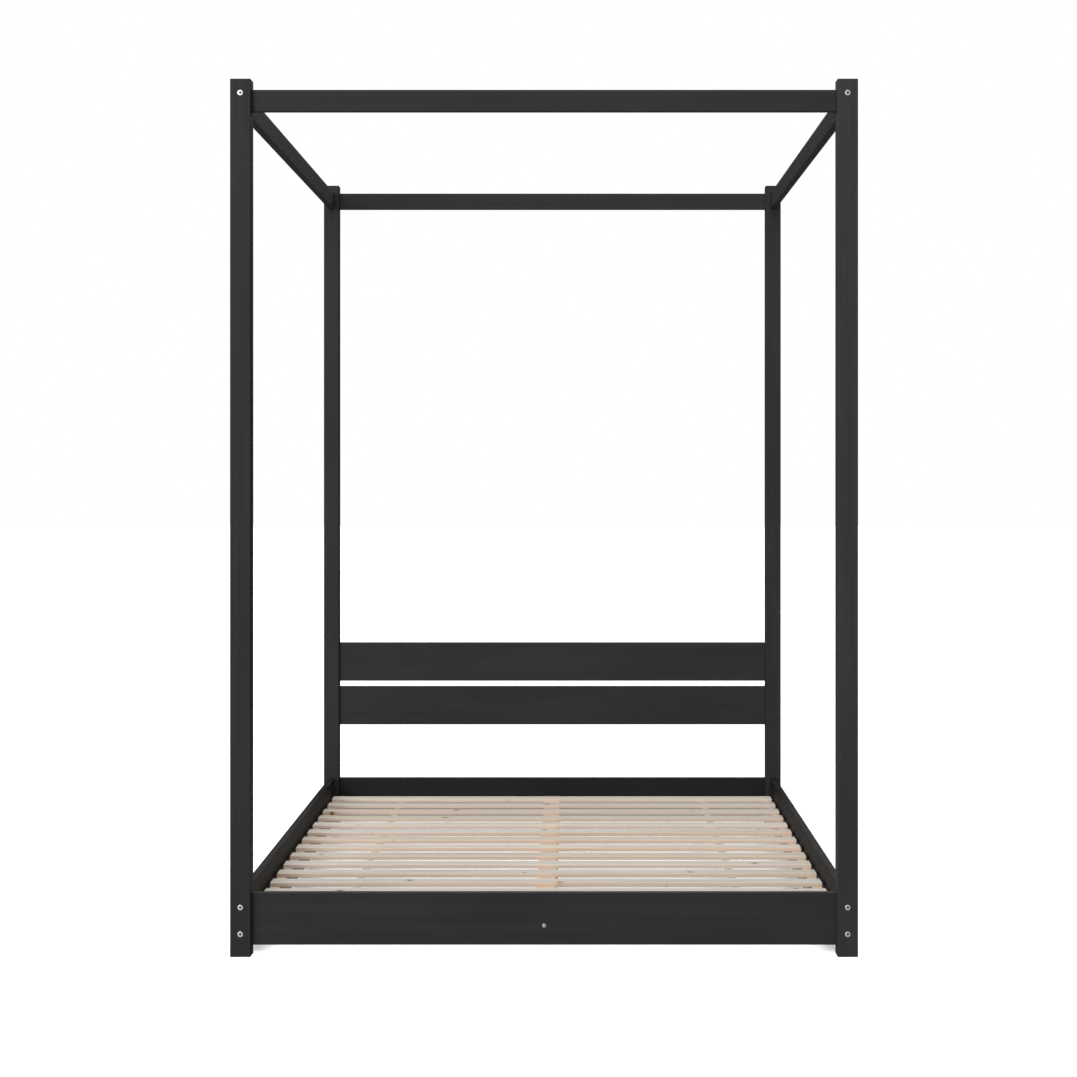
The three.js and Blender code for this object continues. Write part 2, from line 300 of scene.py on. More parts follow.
def pine_pattern(m):
    """Growth rings, fibre, broad streaks and knots of pine, all from the place inside the log.

    The grain attribute is (along, across, through) in metres, measured from the log's own pith.
    """
    grain = m.attribute("grain", "Vector")
    along, across, through = m.parts(grain)

    # One knot at most in each cell of the board's face. Only some cells have one.
    cell_along, cell_across = 2.6, 13.0
    cells = m.node(
        "ShaderNodeTexVoronoi",
        {"Vector": m.scaled(grain, cell_along, cell_across, 0), "Scale": 1.0},
        voronoi_dimensions="2D",
    )
    centre = m.parts(cells.outputs["Position"])
    from_x = m.math("SUBTRACT", along, m.math("DIVIDE", centre[0], cell_along))
    from_y = m.math("SUBTRACT", across, m.math("DIVIDE", centre[1], cell_across))
    distance = m.math("SQRT", m.math("ADD", m.math("POWER", from_x, 2.0), m.math("POWER", from_y, 2.0)))
    chance = m.parts(cells.outputs["Color"])
    size = m.remap(chance[0], 0.35, 1.0, 0.0, KNOT_RADIUS)
    share = m.math("DIVIDE", distance, m.math("MAXIMUM", size, 0.05 * MM))
    knot = m.remap(share, 0.8, 1.1, 1.0, 0.0)
    halo = m.remap(share, 0.9, 3.0, 1.0, 0.0)
    bend = m.math("MULTIPLY", m.remap(share, 0.6, 4.5, 1.0, 0.0), size)

    # Rings round the pith, wandering slowly and bending round the knots
    squares = m.math("ADD", m.math("POWER", across, 2.0), m.math("POWER", through, 2.0))
    radius = m.math("SQRT", squares)
    slow = m.math("MULTIPLY", m.noise(m.scaled(grain, 1.1, 9, 9), detail=1.0), 11 * MM)
    quick = m.math("MULTIPLY", m.noise(m.scaled(grain, 9, 90, 90), detail=3.0), 1.6 * MM)
    bent = m.math("ADD", radius, m.math("ADD", slow, m.math("ADD", quick, bend)))
    turn = m.math("FRACT", m.math("DIVIDE", bent, RING_SPACING))
    late = m.math("MULTIPLY", m.remap(turn, 0.25, 0.9), m.remap(turn, 0.92, 1.0, 1.0, 0.0))

    fibre = m.noise(m.scaled(grain, 16, 1100, 1100), detail=3.0, roughness=0.6)
    streak = m.noise(m.scaled(grain, 0.8, 55, 55), detail=3.0, roughness=0.55)
    return {"late": late, "fibre": fibre, "streak": streak, "knot": knot, "halo": halo, "grain": grain}


def natural_pine():
    """Planed pine with no finish: cream earlywood, tan latewood, pink and orange streaks, brown knots."""
    m = Material("natural_pine")
    pine = pine_pattern(m)
    tone_and_painted_light = m.parts(m.attribute("tone_and_painted_light", "Vector"))

    cream = m.mix(tone_and_painted_light[1], rgb(0.75, 0.72, 0.655), rgb(0.74, 0.665, 0.56))
    pink = m.mix(tone_and_painted_light[2], rgb(0.73, 0.62, 0.545), rgb(0.72, 0.52, 0.36))
    wood = m.mix(m.remap(pine["streak"], 0.44, 0.72), cream, pink)
    late = m.mix(tone_and_painted_light[1], rgb(0.52, 0.43, 0.35), rgb(0.50, 0.37, 0.25))
    wood = m.mix(m.math("MULTIPLY", pine["late"], 0.42), wood, late)
    wood = m.mix(m.remap(pine["fibre"], 0.3, 0.7, 0.0, 0.14), wood, rgb(0.46, 0.40, 0.34))
    # Painted light: the narrow side faces are painted warmer and darker than the tops, to follow how the
    # light falls on them.
    side_painted_light = m.mix(tone_and_painted_light[2], rgb(0.72, 0.53, 0.43), rgb(0.72, 0.49, 0.31))
    wood = m.mix(m.math("MULTIPLY", m.attribute("side_face_painted_light"), 0.6), wood, side_painted_light)
    wood = m.mix(m.math("MULTIPLY", pine["halo"], 0.5), wood, rgb(0.42, 0.27, 0.15))
    rings = m.math("SINE", m.math("MULTIPLY", pine["late"], 9.0))
    core = m.mix(m.remap(rings, -1.0, 1.0), rgb(0.13, 0.055, 0.022), rgb(0.24, 0.11, 0.045))
    wood = m.mix(pine["knot"], wood, core)
    wood = m.mix(m.math("MULTIPLY", m.attribute("end_grain"), 0.5), wood, rgb(0.45, 0.31, 0.19))
    # Painted shade: next to the rail the pine is painted near black, where the bearer meets the rail.
    rail_shade_amount = m.math("MULTIPLY", m.attribute("painted_rail_shade"), m.remap(pine["fibre"], 0.2, 0.6, 0.86, 0.98))
    wood = m.mix(rail_shade_amount, wood, rgb(0.021, 0.020, 0.019))
    wood = m.mix(1.0, wood, m.joined(tone_and_painted_light[0], tone_and_painted_light[0], tone_and_painted_light[0]), "MULTIPLY")

    pores = m.math("MULTIPLY", pine["fibre"], 0.5)
    relief = m.math("SUBTRACT", m.math("MULTIPLY", pine["late"], 0.6), pores)
    relief = m.math("ADD", relief, m.math("MULTIPLY", pine["knot"], 0.7))
    rough = m.math("ADD", 0.5, m.math("MULTIPLY", pine["fibre"], 0.22))
    rough = m.math("SUBTRACT", rough, m.math("MULTIPLY", pine["knot"], 0.12))
    return m.surface({
        "Base Color": wood,
        "Roughness": rough,
        "Specular IOR Level": 0.4,
        "Normal": m.bump(relief, 0.12 * MM, 0.8),
    })


def black_paint():
    """Satin black paint on pine: grain and knots show faintly through it, the edges wear a little, and a
    painted sheen lightens every rounded edge.
    """
    m = Material("black_paint")
    pine = pine_pattern(m)
    tone_and_painted_light = m.parts(m.attribute("tone_and_painted_light", "Vector"))

    cloud = m.noise(m.scaled(pine["grain"], 2.2, 9, 9), detail=4.0, roughness=0.6)
    streak = m.remap(pine["streak"], 0.3, 0.75)
    paint = m.mix(m.remap(cloud, 0.3, 0.7), rgb(0.0175, 0.0176, 0.0196), rgb(0.0245, 0.0245, 0.0266))
    paint = m.mix(m.math("MULTIPLY", streak, 0.35), paint, rgb(0.0300, 0.0294, 0.0304))
    paint = m.mix(m.math("MULTIPLY", pine["late"], 0.22), paint, rgb(0.0128, 0.0128, 0.0141))
    paint = m.mix(m.math("MULTIPLY", pine["knot"], 0.2), paint, rgb(0.0095, 0.0092, 0.0092))
    edge = m.attribute("arris")
    chips = m.noise(m.scaled(pine["grain"], 55, 420, 420), detail=4.0, roughness=0.7)
    worn = m.math("MULTIPLY", edge, m.remap(chips, 0.58, 0.74))
    # Painted sheen: every rounded edge is painted a little lighter, as if catching the light. The chips
    # below are real wear.
    paint = m.mix(m.math("MULTIPLY", edge, 0.45), paint, rgb(0.0270, 0.0268, 0.0280))
    paint = m.mix(m.math("MULTIPLY", worn, 0.5), paint, rgb(0.0620, 0.0560, 0.0500))
    # Painted light and shade: the first tone number multiplies the paint, and on the frame it holds each
    # board's painted light level as well as its random tone.
    paint = m.mix(1.0, paint, m.joined(tone_and_painted_light[0], tone_and_painted_light[0], tone_and_painted_light[0]), "MULTIPLY")

    # The paint fills the pores, so the relief is lower than on bare pine, with a roller's fine stipple.
    stipple = m.noise(m.scaled(pine["grain"], 650, 650, 650), detail=2.0, roughness=0.5)
    pores = m.math("MULTIPLY", pine["fibre"], 0.9)
    relief = m.math("SUBTRACT", m.math("MULTIPLY", pine["late"], 0.55), pores)
    relief = m.math("ADD", relief, m.math("MULTIPLY", pine["knot"], 0.9))
    grained = m.bump(relief, 0.09 * MM, 0.8)
    rough = m.math("ADD", 0.50, m.math("MULTIPLY", cloud, 0.14))
    rough = m.math("ADD", rough, m.math("MULTIPLY", stipple, 0.12))
    rough = m.math("SUBTRACT", rough, m.math("MULTIPLY", edge, 0.08))
    return m.surface({
        "Base Color": paint,
        "Roughness": rough,
        "Specular IOR Level": 0.19,
        "Normal": m.bump(stipple, 0.025 * MM, 0.6, grained),
    })


def zinc_steel():
    """Bright zinc plate: fine mottling, with turned marks too small to see as lines."""
    m = Material("zinc_steel")
    place = m.attribute("place", "Vector")
    deep = m.attribute("socket")
    mottle = m.noise(m.scaled(place, 420, 420, 420), detail=4.0, roughness=0.6)
    fine = m.noise(m.scaled(place, 2600, 2600, 2600), detail=2.0)
    zinc = m.mix(m.remap(mottle, 0.3, 0.7), rgb(0.66, 0.66, 0.62), rgb(0.84, 0.83, 0.78))
    # Painted shade: the inside of the socket is painted near black.
    socket_shade = m.math("MULTIPLY", deep, m.remap(mottle, 0.2, 0.7, 0.98, 0.85))
    zinc = m.mix(socket_shade, zinc, rgb(0.035, 0.033, 0.030))
    rough = m.math("ADD", 0.20, m.math("MULTIPLY", mottle, 0.22))
    rough = m.math("ADD", rough, m.math("MULTIPLY", deep, 0.3))
    return m.surface({
        "Base Color": zinc,
        "Metallic": 1.0,
        "Roughness": rough,
        "Normal": m.bump(fine, 0.01 * MM, 0.4),
    })


def woven_tape():
    """Undyed cotton webbing in a plain weave."""
    m = Material("woven_tape")
    place = m.attribute("place", "Vector")
    across, along, _ = m.parts(place)
    warp = m.math("SINE", m.math("MULTIPLY", across, math.tau / WARP_SPACING))
    weft = m.math("SINE", m.math("MULTIPLY", along, math.tau / WEFT_SPACING))
    weave = m.math("MULTIPLY", warp, weft)
    fluff = m.noise(m.scaled(place, 1500, 700, 1500), detail=3.0, roughness=0.6)
    height = m.math("ADD", m.math("MULTIPLY", weave, 0.5), fluff)
    # Painted shade: the weave's low points between the threads are painted darker, and the fluff adds random
    # tone.
    cloth = m.mix(m.remap(height, -0.1, 1.1), rgb(0.50, 0.46, 0.39), rgb(0.84, 0.80, 0.72))
    dust = m.noise(m.scaled(place, 60, 14, 60), detail=3.0)
    cloth = m.mix(m.remap(dust, 0.45, 0.8, 0.0, 0.25), cloth, rgb(0.55, 0.49, 0.40))
    return m.surface({
        "Base Color": cloth,
        "Roughness": m.math("ADD", 0.82, m.math("MULTIPLY", fluff, 0.12)),
        "Specular IOR Level": 0.25,
        "Sheen Weight": 0.25,
        "Sheen Roughness": 0.5,
        "Normal": m.bump(height, 0.25 * MM, 0.9),
    })


# ---------------------------------------------------------------- mesh tools

def to_mesh(name, bm):
    mesh = bpy.data.meshes.new(name)
    bmesh.ops.recalc_face_normals(bm, faces=bm.faces)
    bm.to_mesh(mesh)
    bm.free()
    return mesh


def turned(profile, sides=32):
    """A closed solid turned round Z from (radius, height) points. The first and last are on the axis."""
    bm = bmesh.new()
    rings = []
    for radius, height in profile:
        if radius < 1e-9:
            rings.append([bm.verts.new((0, 0, height))])
            continue
        ring = []
        for i in range(sides):
            angle = math.tau * i / sides
            ring.append(bm.verts.new((radius * math.cos(angle), radius * math.sin(angle), height)))
        rings.append(ring)
    for lower, upper in zip(rings, rings[1:]):
        for i in range(sides):
            j = (i + 1) % sides
            corners = [lower[i % len(lower)], lower[j % len(lower)]]
            corners += [upper[j % len(upper)], upper[i % len(upper)]]
            bm.faces.new(list(dict.fromkeys(corners)))
    return bm


def rounded_corner(radius, height, ease, steps=4):
    """Profile points of a round outer corner that turns from a flat face at height to a wall at radius.

    The face is below the wall when ease is positive, and above it when ease is negative.
    """
    points = []
    for i in range(steps + 1):
        angle = math.pi / 2 * i / steps
        points.append((
            radius - abs(ease) * (1 - math.sin(angle)),
            height + ease * (1 - math.cos(angle)),
        ))
    return points


def prism(sides, across_flats, low, high):
    bm = bmesh.new()
    radius = across_flats / 2 / math.cos(math.pi / sides)
    ends = []
    for z in (low, high):
        ring = []
        for i in range(sides):
            angle = math.tau * i / sides
            ring.append(bm.verts.new((radius * math.cos(angle), radius * math.sin(angle), z)))
        ends.append(ring)
    bm.faces.new(reversed(ends[0]))
    bm.faces.new(ends[1])
    for i in range(sides):
        j = (i + 1) % sides
        bm.faces.new((ends[0][i], ends[0][j], ends[1][j], ends[1][i]))
    return bm


def block(low, high):
    bm = bmesh.new()
    bmesh.ops.create_cube(bm, size=1)
    low, high = Vector(low), Vector(high)
    size = high - low
    middle = (low + high) / 2
    for vertex in bm.verts:
        vertex.co = Vector(a * b + c for a, b, c in zip(vertex.co, size, middle))
    return bm


def pointing(direction):
    """The rotation that turns +Z to point along a direction."""
    return Vector(direction).to_track_quat("Z", "Y").to_matrix().to_4x4()


def merged(parts):
    """One mesh-building solid from several (solid, matrix) pairs that don't touch each other."""
    whole = bmesh.new()
    for bm, matrix in parts:
        bm.transform(matrix)
        part = bpy.data.meshes.new("part")
        bmesh.ops.recalc_face_normals(bm, faces=bm.faces)
        bm.to_mesh(part)
        bm.free()
        whole.from_mesh(part)
        bpy.data.meshes.remove(part)
    return whole


def carved(mesh, passes):
    """mesh with each pass of cutters taken out of it in turn. A pass is a list of (solid, matrix) pairs."""
    target = link(bpy.data.objects.new("carving", mesh))
    cutters = []
    for number, parts in enumerate(passes):
        if not parts:
            continue
        cutter = link(bpy.data.objects.new("cutter", to_mesh("cutter", merged(parts))))
        modifier = target.modifiers.new(f"cut{number}", "BOOLEAN")
        modifier.operation = "DIFFERENCE"
        modifier.solver = "EXACT"
        modifier.object = cutter
        cutters.append(cutter)
    graph = bpy.context.evaluated_depsgraph_get()
    result = bpy.data.meshes.new_from_object(target.evaluated_get(graph), depsgraph=graph)
    result.name = mesh.name
    for thing in [target, *cutters]:
        bpy.data.objects.remove(thing)
    bpy.data.meshes.remove(mesh)
    return result


def add_piece(name, mesh, material, slot, *nodes):
    """An object that rides on the frame, has its finish from its material and may stand for CAD nodes. The
    slot argument is not used.
    """
    mesh.materials.clear()
    mesh.materials.append(material)
    piece = link(bpy.data.objects.new(name, mesh))
    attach(piece, BODY)
    if nodes:
        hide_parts(*nodes)
    return piece


def smooth(mesh, angle=32):
    """Smooth shading with sharp edges past an angle."""
    bm = bmesh.new()
    bm.from_mesh(mesh)
    limit = math.radians(angle)
    for edge in bm.edges:
        edge.smooth = len(edge.link_faces) == 2 and edge.calc_face_angle(0) < limit
    for face in bm.faces:
        face.smooth = True
    bm.to_mesh(mesh)
    bm.free()


def keep_flats_flat(piece):
    modifier = piece.modifiers.new("flat_faces", "WEIGHTED_NORMAL")
    modifier.keep_sharp = True
    modifier.weight = 100


def store(mesh, name, values, domain="POINT"):
    """Adds an attribute and fills it at once, from one number or one vector for each point or face."""
    is_vector = len(values) > 0 and not isinstance(values[0], float)
    attribute = mesh.attributes.new(name, "FLOAT_VECTOR" if is_vector else "FLOAT", domain)
    if is_vector:
        attribute.data.foreach_set("vector", [number for value in values for number in value])
    else:
        attribute.data.foreach_set("value", values)


def write_place(mesh):
    """Stores each vertex's own place, so that a pattern stays with the piece."""
    store(mesh, "place", [vertex.co.copy() for vertex in mesh.vertices])


# ---------------------------------------------------------------- timber

def box_of(node):
    """The lowest and highest corners of a CAD node."""
    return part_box(node)


def middle_of(node):
    low, high = box_of(node)
    return (low + high) / 2


def axes_by_size(size):
    """The axis numbers of a stick's length, width and thickness."""
    return sorted(range(3), key=lambda axis: (-size[axis], axis))


def stick(node, kind):
    """A straight length of timber in a CAD node's box, with round long edges and eased ends."""
    low, high = box_of(node)
    size = high - low
    length_axis = axes_by_size(size)[0]
    bm = block(low, high)
    long_edges = []
    for edge in bm.edges:
        first, second = (vertex.co for vertex in edge.verts)
        if abs(first[length_axis] - second[length_axis]) > size[length_axis] / 2:
            long_edges.append(edge)
    bmesh.ops.bevel(
        bm, geom=long_edges, offset=ARRIS[kind], segments=ARRIS_SEGMENTS, profile=0.5, affect="EDGES",
    )
    end_edges = []
    for edge in bm.edges:
        heights = [vertex.co[length_axis] for vertex in edge.verts]
        if abs(heights[0] - heights[1]) < 1e-6:
            end_edges.append(edge)
    bmesh.ops.bevel(
        bm, geom=end_edges, offset=END_ARRIS[kind], segments=2, profile=0.5, affect="EDGES",
    )
    return to_mesh(node, bm)


def write_grain(mesh, node, kind, random_number):
    """Stores where each point lies in its log, which are on a rounded edge, and which faces are narrow
    sides, which bare pine paints warmer and darker as painted light.
    """
    low, high = box_of(node)
    middle = (low + high) / 2
    size = high - low
    order = axes_by_size(size)
    pith = Vector((
        random_number.uniform(0, 40),
        random_number.uniform(-0.035, 0.035),
        random_number.choice((-1, 1)) * random_number.uniform(0.045, 0.12),
    ))
    reach = 0.95 * ARRIS[kind]
    grain, arris = [], []
    for vertex in mesh.vertices:
        offset = vertex.co - middle
        grain.append(Vector([offset[axis] for axis in order]) + pith)
        inside = [size[axis] / 2 - abs(offset[axis]) for axis in order[1:]]
        arris.append(1.0 if max(inside) < reach else 0.0)
    store(mesh, "grain", grain)
    store(mesh, "arris", arris)
    ends = [1.0 if abs(face.normal[order[0]]) > 0.7 else 0.0 for face in mesh.polygons]
    store(mesh, "end_grain", ends, "FACE")
    side_painted_light = [1.0 if abs(face.normal[order[2]]) < 0.5 else 0.0 for face in mesh.polygons]
    store(mesh, "side_face_painted_light", side_painted_light, "FACE")


# One brightness, warmth and blush for the whole piece. On the painted frame the brightness also carries
# painted light and shade.
def write_tone_and_painted_light(mesh, brightness, warmth=0, blush=0):
    store(mesh, "tone_and_painted_light", [Vector((brightness, warmth, blush))] * len(mesh.vertices))


# ---------------------------------------------------------------- fastenings

def bolt_hole(kind, thickness):
    """The cutter for a bolt's counterbore and clearance hole, from the outer face at Z 0 downwards in +Z."""
    head = HEAD_RADIUS[kind] + HOLE_CLEARANCE
    shank = SHANK_RADIUS[kind] + HOLE_CLEARANCE
    return turned([
        (0, -2 * MM),
        (head + MOUTH_CHAMFER + 2 * MM, -2 * MM),
        (head, MOUTH_CHAMFER),
        (head, COUNTERBORE_DEPTH),
        (shank, COUNTERBORE_DEPTH),
        (shank, thickness + 2 * MM),
        (0, thickness + 2 * MM),
    ])


def round_hole(radius, depth):
    """The cutter for a plain drilled hole with a lightly chamfered mouth at Z 0, going down in +Z."""
    return turned([
        (0, -2 * MM),
        (radius + 0.3 * MM + 2 * MM, -2 * MM),
        (radius, 0.3 * MM),
        (radius, depth),
        (0, depth + radius * 0.3),
    ], 24)


def write_socket(mesh, radius, depth):
    """Marks the points inside a driver's recess, where the plating is dull and painted shade darkens it."""
    inside = []
    for vertex in mesh.vertices:
        near = math.hypot(vertex.co.x, vertex.co.y) < radius
        below = 0.25 * MM < vertex.co.z < depth + 0.1 * MM
        inside.append(1.0 if near and below else 0.0)
    store(mesh, "socket", inside)


def bolt_mesh(kind):
    """A furniture bolt with a flat head, a hexagon socket and a threaded end. Its head's face is at Z 0."""
    head, shank = HEAD_RADIUS[kind], SHANK_RADIUS[kind]
    length, thread = BOLT_LENGTH[kind], THREAD_LENGTH[kind]
    profile = [(0, 0)]
    profile += rounded_corner(head, 0, 0.7 * MM)
    profile += [(head, HEAD_THICKNESS - 0.2 * MM), (head - 0.2 * MM, HEAD_THICKNESS)]
    profile.append((shank, HEAD_THICKNESS))
    crest = length - thread
    while crest + THREAD_PITCH < length - 1.5 * MM:
        profile.append((shank, crest + 0.15 * THREAD_PITCH))
        profile.append((shank - THREAD_DEPTH, crest + 0.5 * THREAD_PITCH))
        profile.append((shank, crest + 0.85 * THREAD_PITCH))
        crest += THREAD_PITCH
    profile += [(shank, length - 1.2 * MM), (shank - 0.9 * MM, length), (0, length)]
    body = to_mesh(f"{kind}_bolt", turned(profile, 32))
    socket = prism(6, SOCKET_WIDTH[kind], -1 * MM, SOCKET_DEPTH)
    mouth = SOCKET_WIDTH[kind] * MOUTH_SHARE
    dimple = turned([(0, -1 * MM), (mouth + 1 * MM, -1 * MM), (mouth - 0.3 * MM, 0.3 * MM), (0, 0.3 * MM)])
    mesh = carved(body, [[(socket, Matrix.Identity(4))], [(dimple, Matrix.Identity(4))]])
    smooth(mesh, 28)
    write_place(mesh)
    write_socket(mesh, mouth, SOCKET_DEPTH)
    return mesh


def nut_mesh():
    """A cross dowel nut: a steel barrel with a threaded cross hole and a slot in its showing end, at Z 0."""
    profile = [(0, 0)]
    profile += rounded_corner(NUT_RADIUS, 0, 0.5 * MM)
    profile += reversed(rounded_corner(NUT_RADIUS, NUT_LENGTH, -0.5 * MM))
    profile += [(0, NUT_LENGTH)]
    body = to_mesh("cross_dowel_nut", turned(profile, 32))
    slot = block((-NUT_RADIUS * 1.2, -0.6 * MM, -1 * MM), (NUT_RADIUS * 1.2, 0.6 * MM, 1.4 * MM))
    reach = 8 * MM
    hole = turned([(0, -reach), (NUT_THREAD_RADIUS, -reach), (NUT_THREAD_RADIUS, reach), (0, reach)], 24)
    across = Matrix.Translation((0, 0, NUT_LENGTH / 2)) @ pointing((1, 0, 0))
    mesh = carved(body, [[(slot, Matrix.Identity(4)), (hole, across)]])
    smooth(mesh, 28)
    write_place(mesh)
    return mesh


def screw_mesh(kind):
    """A countersunk wood screw with a cross recess. Its head's face is at Z 0."""
    length = SCREW_LENGTH[kind]
    head, shank = SCREW_HEAD_RADIUS, SCREW_SHANK_RADIUS
    crest = length * 0.35
    profile = [(0, 0), (head - 0.25 * MM, 0), (head, 0.25 * MM), (shank, SCREW_COUNTERSINK), (shank, crest)]
    while crest + SCREW_PITCH < length - 4 * MM:
        profile.append((shank - SCREW_THREAD_DEPTH, crest + SCREW_PITCH / 2))
        profile.append((shank, crest + SCREW_PITCH))
        crest += SCREW_PITCH
    profile += [(0, length)]
    body = to_mesh(f"{kind}_screw", turned(profile, 24))
    bars = []
    for angle in (0, 90):
        bar = block((-2.3 * MM, -0.5 * MM, -1 * MM), (2.3 * MM, 0.5 * MM, 1.6 * MM))
        bars.append([(bar, Matrix.Rotation(math.radians(angle), 4, "Z"))])
    mesh = carved(body, bars)
    smooth(mesh, 28)
    write_place(mesh)
    return mesh


def staple_solid():
    """A wire staple with its crown along X at Z 0 and its legs pointing up."""
    bm = bmesh.new()
    half = STAPLE_WIDTH / 2
    corner = STAPLE_BEND
    path = [Vector((-half, 0, STAPLE_LEG)), Vector((-half, 0, corner))]
    for i in range(1, 5):
        angle = math.pi / 2 * i / 5
        path.append(Vector((-half + corner * (1 - math.cos(angle)), 0, corner * (1 - math.sin(angle)))))
    path.append(Vector((-half + corner, 0, 0)))
    path += [Vector((-point.x, 0, point.z)) for point in reversed(path)]
    rings = []
    for i, point in enumerate(path):
        ahead = path[min(i + 1, len(path) - 1)] - path[max(i - 1, 0)]
        ahead.normalize()
        side = Vector((0, 1, 0))
        up = ahead.cross(side)
        ring = []
        for k in range(STAPLE_SIDES):
            angle = math.tau * k / STAPLE_SIDES
            ring.append(bm.verts.new(point + STAPLE_WIRE * (side * math.cos(angle) + up * math.sin(angle))))
        rings.append(ring)
    for first, second in zip(rings, rings[1:]):
        for k in range(STAPLE_SIDES):
            j = (k + 1) % STAPLE_SIDES
            bm.faces.new((first[k], first[j], second[j], second[k]))
    bm.faces.new(rings[0])
    bm.faces.new(reversed(rings[-1]))
    return bm


# ---------------------------------------------------------------- the bed's own layout, read from the frame

nodes = sorted(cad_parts)
posts = [node for node in nodes if node.startswith("post_")]
cross_boards = [node for node in nodes if node in ("foot_rail", "head_rail")]
cross_boards += [node for node in nodes if node in ("canopy_rail_foot", "canopy_rail_head")]
cross_boards += [node for node in nodes if node.startswith("headboard_plank_")]
side_boards = [node for node in nodes if node.startswith("side_rail_") and "bolt" not in node]
side_boards += [node for node in nodes if node in ("canopy_rail_left", "canopy_rail_right")]
slats = [node for node in nodes if node.startswith("slat_") and node[5:].isdigit()]
ledgers = [node for node in nodes if node.startswith("slat_ledger_")]
tapes = [node for node in nodes if node.startswith("slat_tape_")]
frame_bolts = [node for node in nodes if "_bolt_" in node and not node.startswith("beam_")]
beam_bolts = [node for node in nodes if node.startswith("beam_bolt_")]


def bolt_facts(node):
    """Where the face of a bolt's head is, and which way its shank points."""
    low, high = box_of(node)
    middle = (low + high) / 2
    size = high - low
    axis = axes_by_size(size)[0]
    inward = Vector((0, 0, 0))
    inward[axis] = -math.copysign(1, middle[axis])
    face = middle - inward * size[axis] / 2
    return face, inward


def plank_bolt_places():
    """The headboard planks' bolts, which the CAD drills for but leaves out."""
    places = []
    for plank in (node for node in cross_boards if node.startswith("headboard_plank_")):
        middle = middle_of(plank)
        for side in (-1, 1):
            face = Vector((side * cad_box[1].x, middle.y, middle.z))
            places.append((plank, "left" if side < 0 else "right", face, Vector((-side, 0, 0))))
    return places


# Every frame bolt as (head place, direction). The holes in posts and boards follow from these.
bolt_places = {node: bolt_facts(node) for node in frame_bolts + beam_bolts}
all_frame_bolts = [bolt_places[node] for node in frame_bolts]
all_frame_bolts += [(face, inward) for _, _, face, inward in plank_bolt_places()]


def holds(node, point, margin=2 * MM):
    low, high = box_of(node)
    return all(low[i] - margin <= point[i] <= high[i] + margin for i in range(3))


# ---------------------------------------------------------------- making the pieces

def add_posts(paint, numbers):
    thickness = box_of(posts[0])[1].x - box_of(posts[0])[0].x
    for node in posts:
        mesh = stick(node, "post")
        cutters = []
        for face, inward in all_frame_bolts:
            if holds(node, face):
                cutters.append((bolt_hole("frame", thickness), Matrix.Translation(face) @ pointing(inward)))
        mesh = carved(mesh, [cutters])
        smooth(mesh)
        write_grain(mesh, node, "post", numbers)
        # Painted light and shade: the post's paint level is set lighter or darker to follow how the light
        # falls on it, with a little random tone on top.
        write_tone_and_painted_light(mesh, COAT_AND_PAINTED_LIGHT[node] * numbers.uniform(0.97, 1.03))
        piece = add_piece(f"{node}_timber", mesh, paint, "black_paint", node)
        keep_flats_flat(piece)


def board_cutters(node, opens):
    """Passes of end bores and nut holes for a board, with the nuts' open face given as a direction."""
    bores, nut_holes = [], []
    low, high = box_of(node)
    half = (high - low) / 2
    middle = (low + high) / 2
    axis = axes_by_size(high - low)[0]
    for face, inward in all_frame_bolts:
        reach = face + inward * BOLT_LENGTH["frame"]
        if abs(inward[axis]) < 0.5 or not holds(node, reach):
            continue
        end = middle.copy()
        end[axis] = middle[axis] - inward[axis] * half[axis]
        end.z = face.z
        bore = round_hole(SHANK_RADIUS["frame"] + HOLE_CLEARANCE, END_BORE_DEPTH)
        bores.append((bore, Matrix.Translation(end) @ pointing(inward)))
        nut_face = end + inward * NUT_FROM_END + opens * half.dot(Vector(map(abs, opens)))
        nut_holes.append((
            round_hole(NUT_HOLE_RADIUS, NUT_HOLE_DEPTH),
            Matrix.Translation(nut_face) @ pointing(-opens),
        ))
    return bores, nut_holes


def nut_places(node, opens):
    """Where each dowel nut's showing end is: just below the face that its hole opens on."""
    _, nut_holes = board_cutters(node, opens)
    return [matrix.translation - opens * NUT_SUNK for _, matrix in nut_holes]


def open_side(node):
    """Which way a board's dowel nuts face: the head end on cross boards, inside the bed on side boards."""
    if node in cross_boards:
        return Vector((0, 1, 0))
    return Vector((-math.copysign(1, middle_of(node).x), 0, 0))


def add_boards(paint, numbers):
    for node in cross_boards + side_boards:
        mesh = stick(node, "rail")
        bores, nut_holes = board_cutters(node, open_side(node))
        beam_holes = []
        for bolt in beam_bolts:
            face, inward = bolt_places[bolt]
            if holds(node, face):
                low, high = box_of(node)
                cutter = bolt_hole("beam", high.y - low.y)
                beam_holes.append((cutter, Matrix.Translation(face) @ pointing(inward)))
        mesh = carved(mesh, [bores, nut_holes, beam_holes])
        smooth(mesh)
        write_grain(mesh, node, "rail", numbers)
        # Painted light and shade: the board's paint level is set lighter or darker to follow how the light
        # falls on it, with a little random tone on top.
        write_tone_and_painted_light(mesh, COAT_AND_PAINTED_LIGHT.get(node, 1.0) * numbers.uniform(0.97, 1.03))
        piece = add_piece(f"{node}_timber", mesh, paint, "black_paint", node)
        keep_flats_flat(piece)


def add_slats(pine, numbers):
    for node in slats:
        mesh = stick(node, "slat")
        smooth(mesh)
        write_grain(mesh, node, "slat", numbers)
        brightness = numbers.uniform(0.93, 1.05)
        warmth = numbers.betavariate(1.3, 2.6)
        blush = numbers.betavariate(1.0, 2.0)
        write_tone_and_painted_light(mesh, brightness, warmth, blush)
        piece = add_piece(f"{node}_timber", mesh, pine, "natural_pine", node)
        keep_flats_flat(piece)


